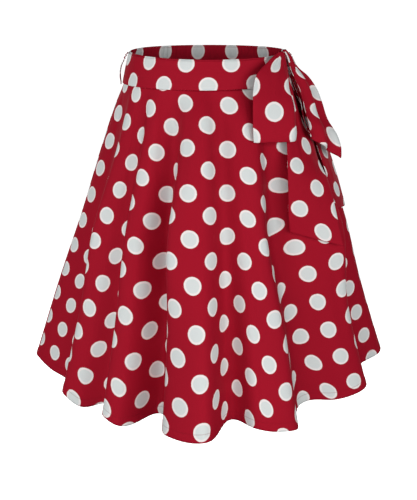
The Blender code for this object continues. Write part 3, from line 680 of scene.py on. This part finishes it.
# Each row is a section of the strip, looked at from outside: its middle (side, back,
# height), its width, the way it faces in degrees from the front, how far its right end
# drops and how far its middle is bowed out. In at least 25 of the 46 rows the middle was
# solved by least squares for the bow's outline, and is kept or moved by up to 3 mm.
SASH_LENGTHS = {
    "bow_loop_front": (
        (0.1224, -0.0668, 0.0068, 0.010, 45.0, 0.0000, 0.0000),
        (0.1208, -0.0705, 0.0003, 0.026, 43.0, 0.0020, 0.0010),
        (0.1163, -0.0795, -0.0121, 0.048, 39.0, 0.0038, 0.0030),
        (0.1130, -0.0940, -0.0287, 0.077, 32.0, 0.0040, 0.0030),
        (0.1122, -0.1060, -0.0510, 0.084, 25.0, 0.0020, 0.0030),
        (0.1155, -0.1165, -0.0740, 0.089, 19.0, 0.0010, 0.0030),
        (0.1178, -0.1255, -0.1090, 0.091, 15.0, 0.0010, 0.0030),
        (0.1188, -0.1295, -0.1280, 0.091, 14.0, 0.0010, 0.0020),
        (0.1188, -0.1285, -0.1355, 0.091, 17.0, 0.0010, 0.0020),
        (0.1172, -0.1230, -0.1310, 0.090, 20.0, 0.0010, 0.0020),
        (0.1140, -0.1140, -0.1050, 0.088, 24.0, 0.0010, 0.0020),
        (0.1085, -0.1000, -0.0700, 0.070, 30.0, 0.0010, 0.0020),
        (0.1083, -0.0823, -0.0420, 0.036, 38.0, 0.0010, 0.0010),
        (0.1195, -0.0690, -0.0240, 0.014, 44.0, 0.0000, 0.0000)),
    "bow_loop_side": (
        (0.1290, -0.0583, 0.0092, 0.010, 65.0, 0.0000, 0.0000),
        (0.1378, -0.0520, -0.0023, 0.024, 66.0, 0.0010, 0.0010),
        (0.1460, -0.0415, -0.0191, 0.043, 65.0, 0.0049, 0.0020),
        (0.1578, -0.0310, -0.0359, 0.070, 62.0, 0.0067, 0.0030),
        (0.1695, -0.0260, -0.0557, 0.080, 59.0, 0.0096, 0.0030),
        (0.1801, -0.0250, -0.0804, 0.080, 58.0, 0.0098, 0.0020),
        (0.1890, -0.0290, -0.1077, 0.080, 54.0, 0.0130, 0.0020),
        (0.1998, -0.0400, -0.1294, 0.083, 43.0, 0.0188, 0.0020),
        (0.2048, -0.0450, -0.1482, 0.084, 40.0, 0.0226, 0.0010),
        (0.2052, -0.0460, -0.1610, 0.082, 42.0, 0.0254, 0.0010),
        (0.2030, -0.0430, -0.1570, 0.080, 46.0, 0.0230, 0.0010),
        (0.1935, -0.0370, -0.1400, 0.076, 52.0, 0.0150, 0.0010),
        (0.1800, -0.0328, -0.1130, 0.066, 60.0, 0.0080, 0.0010),
        (0.1665, -0.0325, -0.0780, 0.046, 67.0, 0.0040, 0.0000),
        (0.1520, -0.0400, -0.0480, 0.028, 66.0, 0.0020, 0.0000),
        (0.1405, -0.0490, -0.0260, 0.010, 66.0, 0.0000, 0.0000)),
    "sash_tail_front": (
        (0.1320, -0.0605, -0.0300, 0.014, 50.0, 0.0000, 0.0000),
        (0.1390, -0.0612, -0.0700, 0.035, 53.0, 0.0020, 0.0010),
        (0.1470, -0.0680, -0.1100, 0.060, 52.0, 0.0040, 0.0020),
        (0.1592, -0.0720, -0.1457, 0.079, 49.0, 0.0068, 0.0030),
        (0.1648, -0.0790, -0.1741, 0.087, 46.0, 0.0093, 0.0060),
        (0.1722, -0.0940, -0.2028, 0.089, 34.0, 0.0085, 0.0060),
        (0.1775, -0.1010, -0.2334, 0.092, 27.0, 0.0068, 0.0070),
        (0.1815, -0.1070, -0.2644, 0.094, 20.0, 0.0075, 0.0060),
        (0.1900, -0.1130, -0.3110, 0.100, 10.0, 0.0156, 0.0030)),
    "sash_tail_side": (
        (0.1432, -0.0425, -0.0360, 0.014, 65.0, 0.0000, 0.0000),
        (0.1600, -0.0190, -0.0750, 0.046, 77.0, 0.0010, 0.0010),
        (0.1810, 0.0010, -0.1150, 0.062, 80.0, 0.0020, 0.0030),
        (0.2030, 0.0110, -0.1582, 0.077, 73.0, 0.0024, 0.0050),
        (0.2232, 0.0100, -0.2115, 0.082, 71.0, 0.0043, 0.0060),
        (0.2370, 0.0100, -0.2535, 0.084, 71.0, 0.0055, 0.0060),
        (0.2462, 0.0100, -0.2843, 0.086, 71.0, 0.0065, 0.0060)),
}

# How each is folded lengthwise: where its right part turns back (a share of the half
# width) and by how many degrees; where a soft pleat lies and how deep it is.
LENGTH_FOLDS = {
    "bow_loop_front": (0.60, 62.0, 0.0, 0.0000),
    "bow_loop_side": (1.00, 0.0, 0.35, 0.0060),
    "sash_tail_front": (1.00, 0.0, 0.0, 0.0000),
    "sash_tail_side": (1.00, 0.0, 0.0, 0.0000),
}
OPEN_WIDTH = 0.084                         # of the strip where its folds are at their full depth

# Where a dot of the print lies on each, from the strip's middle line and along it, and how
# large the print is drawn there. The 1.11 is given; nothing in the cut explains it.
SASH_PRINT = {"bow_loop_front": (-0.008, 0.1105, 1.11), "bow_loop_side": (-0.004, 0.1335, 1.0),
              "sash_tail_front": (-0.026, 0.1665, 1.0), "sash_tail_side": (-0.017, 0.1710, 1.0)}

# Creases on them: the middle's place along and across (shares of the length and of the
# half width), half length and half width (shares, millimetres), lean and depth (mm).
LENGTH_CREASES = {
    "bow_loop_front": ((0.16, -0.30, 0.10, 4.0, 0.25, 0.6), (0.20, 0.35, 0.12, 5.0, -0.20, 0.6),
                       (0.40, 0.75, 0.10, 5.0, 0.05, -0.5)),
    "bow_loop_side": ((0.30, 0.15, 0.20, 6.0, -0.10, 0.8), (0.20, -0.45, 0.12, 4.0, 0.20, 0.6),
                      (0.42, 0.60, 0.12, 5.0, 0.10, -0.6)),
    "sash_tail_front": ((0.45, -0.20, 0.22, 6.0, 0.15, 0.6), (0.70, 0.45, 0.25, 7.0, -0.20, 0.7),
                        (0.80, -0.55, 0.15, 6.0, 0.10, -0.5)),
    "sash_tail_side": ((0.50, 0.10, 0.25, 6.0, 0.20, 0.7), (0.75, -0.40, 0.20, 6.0, -0.15, -0.5)),
}
STRIP_ALONG, STRIP_ACROSS = 132, 36
FOLD_SOFTNESS = 0.08
GATHERS, GATHER_DEPTH = 2.5, 0.0019        # that draw the strip into the knot
STRIP_EDGE = 0.30                          # thickness at its pressed edges, as a share


def sash_length_grid(name, along, across):
    """Points of a strip of sash laid smoothly through its table's sections. Its lengthwise
    folds open out below the knot."""
    table = np.array(SASH_LENGTHS[name])
    places = run_along(table[:, :3])
    side, back, height, width, facing, drop, belly = smooth_rows(
        places, table, np.linspace(0.0, places[-1], along + 1)).T[:, :, None]
    share = np.linspace(-1.0, 1.0, across + 1)[None, :]
    facing = np.radians(facing)
    turned_from, turned_by, pleat_place, pleat_depth = LENGTH_FOLDS[name]
    past = share - turned_from
    past = (past + np.sqrt(past**2 + FOLD_SOFTNESS**2)) / 2 if turned_by else 0.0 * share
    opened = np.clip(width / OPEN_WIDTH, 0.0, 1.0)**3
    turned = np.radians(turned_by) * opened
    reach = (share - past * (1.0 - np.cos(turned))) * width / 2
    out = belly * (1.0 - share**2) - past * np.sin(turned) * width / 2 \
        - pleat_depth * opened * np.cos(2 * math.pi * (share - pleat_place))
    out = out + GATHER_DEPTH * np.clip(1.0 - width / SASH_FLAT, 0.0, 1.0) \
        * (1.0 - share**4) * np.cos(2 * math.pi * GATHERS * share)
    return np.stack([side + reach * np.cos(facing) + out * np.sin(facing),
                     back + reach * np.sin(facing) - out * np.cos(facing),
                     height - share * drop], axis=2)


for strip_name in SASH_LENGTHS:
    centre = sash_length_grid(strip_name, STRIP_ALONG, STRIP_ACROSS)
    share = np.linspace(-1.0, 1.0, STRIP_ACROSS + 1)[None, :]
    down = np.linspace(0.0, 1.0, STRIP_ALONG + 1)[:, None]
    out = np.zeros(centre.shape[:2])
    for place, off_middle, half_length, half_width, lean, depth in LENGTH_CREASES[strip_name]:
        away = np.clip((down - place) / half_length, -1.0, 1.0)
        line = off_middle + lean * away
        out -= depth / 1000 * np.cos(away * np.pi / 2)**2 \
            * np.exp(-((share - line) * SASH_FLAT / 2 / (half_width / 1000))**2)
    centre = centre + outward_normals(centre) * out[:, :, None]
    points = strip_shell(centre, SASH_WALL, STRIP_EDGE)
    across_start, along_start, dot_size = SASH_PRINT[strip_name]
    maps = shell_maps(centre, SASH_FLAT, (across_start, along_start), dot_size)
    strip = cloth_mesh(strip_name + "_cloth", points, maps, ring=True, capped=True)
    strip.data.materials.append(SASH_CLOTH)
    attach(strip, "root")
    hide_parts(strip_name)


# THE KNOT
# The sash's last wrap, pulled tight over the roots of the loops: a short soft roll with
# three folds running round it.

KNOT_HALF = (0.0060, 0.0045, 0.0125)       # half its width, depth and height
KNOT_ROUND, KNOT_DOWN, KNOT_END = 96, 60, 0.03
WRAPS, WRAP_DEPTH, WRAP_SLANT = 3.0, 0.10, 0.35

low, high = (np.array(corner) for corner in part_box("sash_knot"))
middle = (low + high) / 2
lat = np.linspace(KNOT_END, math.pi - KNOT_END, KNOT_DOWN + 1)[:, None]
around = np.linspace(0.0, 2 * math.pi, KNOT_ROUND + 1)[None, :]
lon = around[:, :-1]
facing = math.radians(KNOT_BEARING)
wide, deep, tall = KNOT_HALF
slant = np.cos(lat) + WRAP_SLANT * np.sin(lat) * np.sin(lon)
swell = 1.0 + WRAP_DEPTH * (np.abs(np.cos(np.pi * WRAPS / 2 * slant)) - 0.7)
across = wide * np.sin(lat) * np.sin(lon) * swell
outward = deep * np.sin(lat) * np.cos(lon) * swell
points = np.stack([middle[0] + across * math.cos(facing) + outward * math.sin(facing),
                   middle[1] + across * math.sin(facing) - outward * math.cos(facing),
                   middle[2] + tall * np.cos(lat) * (1.0 + 0.03 * swell)], axis=2)
prints = np.stack([around * wide + 0.004 + 0 * lat, tall * np.cos(lat) + 0.028 + 0 * around],
                  axis=2)
knot = cloth_mesh("sash_knot_cloth", points, {"print": prints, "edge": prints}, ring=True,
                  capped=True)
knot.data.materials.append(SASH_CLOTH)
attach(knot, "root")
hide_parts("sash_knot")


# THE STUDIO
# A pale floor far below the hem, softboxes in a ring round the skirt, and the camera.

FLOOR_HEIGHT, FLOOR_SIZE = -1.30, 120.0
bpy.ops.object.select_all(action="DESELECT")
bpy.ops.mesh.primitive_plane_add(size=FLOOR_SIZE, location=(0.0, 0.0, FLOOR_HEIGHT))
floor = bpy.context.object
floor.name = "studio_floor"
paint = bpy.data.materials.new("Matt white studio paint")
paint.use_nodes = True
shader = paint.node_tree.nodes["Principled BSDF"]
shader.inputs["Base Color"].default_value = linear("#F9F9F8")
shader.inputs["Roughness"].default_value = 0.9
shader.inputs["Emission Color"].default_value = linear("#FFFFFF")
shader.inputs["Emission Strength"].default_value = 1.1
floor.data.materials.append(paint)
floor.visible_diffuse = floor.visible_glossy = False    # it doesn't light the skirt from below

world = bpy.data.worlds.new("Soft white room")
scene.world = world
world.use_nodes = True
background = world.node_tree.nodes["Background"]
background.inputs["Color"].default_value = linear("#FFFFFF")
background.inputs["Strength"].default_value = 0.02

# Softboxes in a ring round the skirt: name, watts, width, degrees round from the front
SOFTBOXES = (("Left softbox", 18.0, 1.2, -68.0), ("Near left softbox", 18.0, 1.2, -20.0),
             ("Near right softbox", 8.5, 1.2, 20.0), ("Right softbox", 20.0, 1.2, 45.0),
             ("Back left softbox", 14.0, 1.2, -150.0), ("Back right softbox", 14.0, 1.2, 145.0))
SOFTBOX_AWAY, SOFTBOX_HEIGHT, LIT_HEIGHT = 2.2, 0.05, -0.30
for light_name, power, width, bearing in SOFTBOXES:
    lamp = bpy.data.lights.new(light_name, "AREA")
    lamp.energy, lamp.size = power, width
    light = bpy.data.objects.new(light_name, lamp)
    scene.collection.objects.link(light)
    bearing = math.radians(bearing)
    light.location = (SOFTBOX_AWAY * math.sin(bearing), -SOFTBOX_AWAY * math.cos(bearing),
                      SOFTBOX_HEIGHT)
    light.rotation_euler = (math.atan2(SOFTBOX_AWAY, SOFTBOX_HEIGHT - LIT_HEIGHT), 0.0, bearing)

CAMERA_BACK, CAMERA_HEIGHT, CAMERA_TILT = 1.646, 0.164, 17.9
camera = bpy.data.objects.new("Camera", bpy.data.cameras.new("Camera"))
scene.collection.objects.link(camera)
camera.location = (0.0, -CAMERA_BACK, CAMERA_HEIGHT)
camera.rotation_euler = (math.radians(90.0 - CAMERA_TILT), 0.0, 0.0)
camera.data.lens, camera.data.sensor_width = 65.95, 36.0
scene.camera = camera
scene.view_settings.view_transform = "Standard"
scene.view_settings.look = "None"
